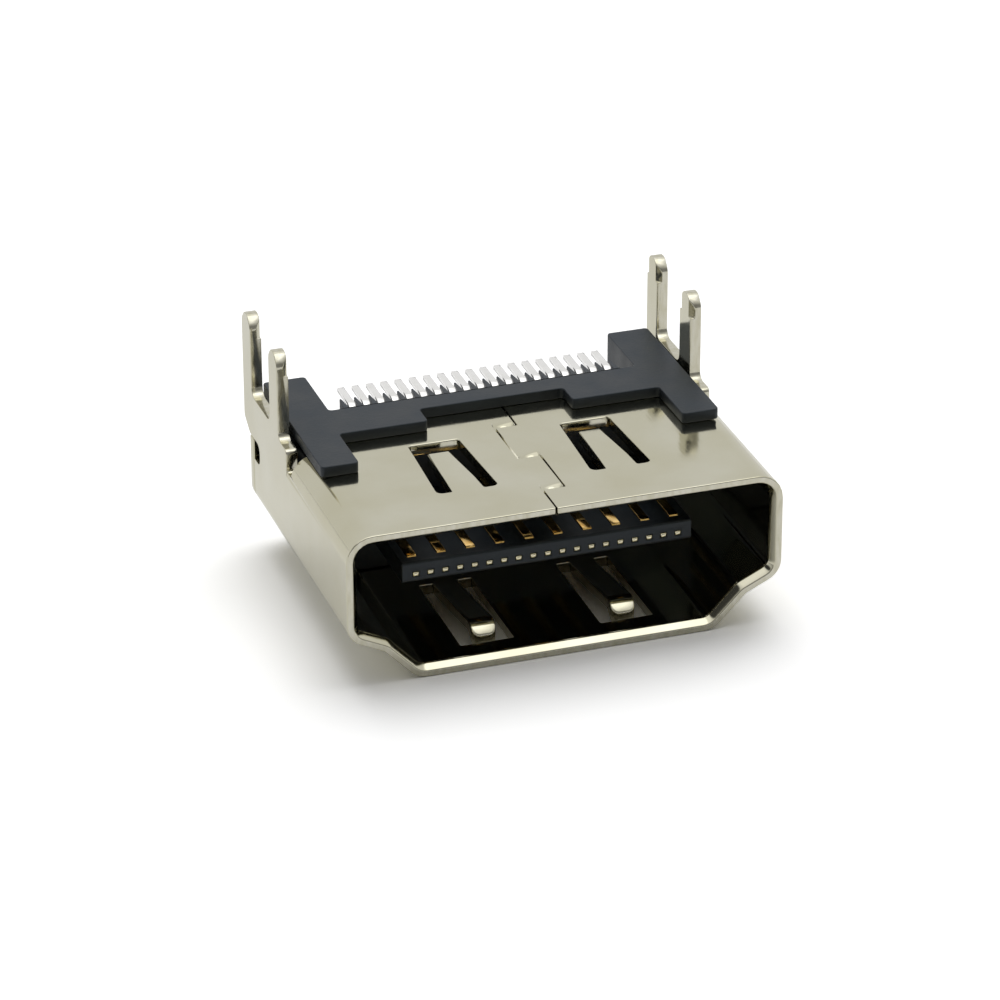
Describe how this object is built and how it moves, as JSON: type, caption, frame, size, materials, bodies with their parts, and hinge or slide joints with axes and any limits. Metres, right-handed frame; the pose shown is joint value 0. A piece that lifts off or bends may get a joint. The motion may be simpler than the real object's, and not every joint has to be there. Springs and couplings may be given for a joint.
{
  "type": "digital video socket",
  "caption": "Board-mounted digital video socket: a folded metal shell with forked legs and springs round a black moulding whose tongue carries rows of formed contacts.",
  "frame": {"origin": "middle of the part's length and width, on the surface that it lies on", "axes": "+X across the mouth, -Y out of the mouth, +Z towards the circuit board, along the legs"},
  "size_m": [0.0148, 0.0118, 0.0084],
  "materials": {
    "plated_sheet": "satin nickel plating",
    "moulding": "fine moulded grain",
    "contact_metal": "thin gold plating, tinned tails"
  },
  "bodies": {
    "root": {"shell": "plated_sheet", "housing": "moulding", "contact_01": "contact_metal", "contact_02": "contact_metal", "contact_03": "contact_metal", "contact_04": "contact_metal", "contact_05": "contact_metal", "contact_06": "contact_metal", "contact_07": "contact_metal", "contact_08": "contact_metal", "contact_09": "contact_metal", "contact_10": "contact_metal", "contact_11": "contact_metal", "contact_12": "contact_metal", "contact_13": "contact_metal", "contact_14": "contact_metal", "contact_15": "contact_metal", "contact_16": "contact_metal", "contact_17": "contact_metal", "contact_18": "contact_metal", "contact_19": "contact_metal"}
  },
  "joints": []
}
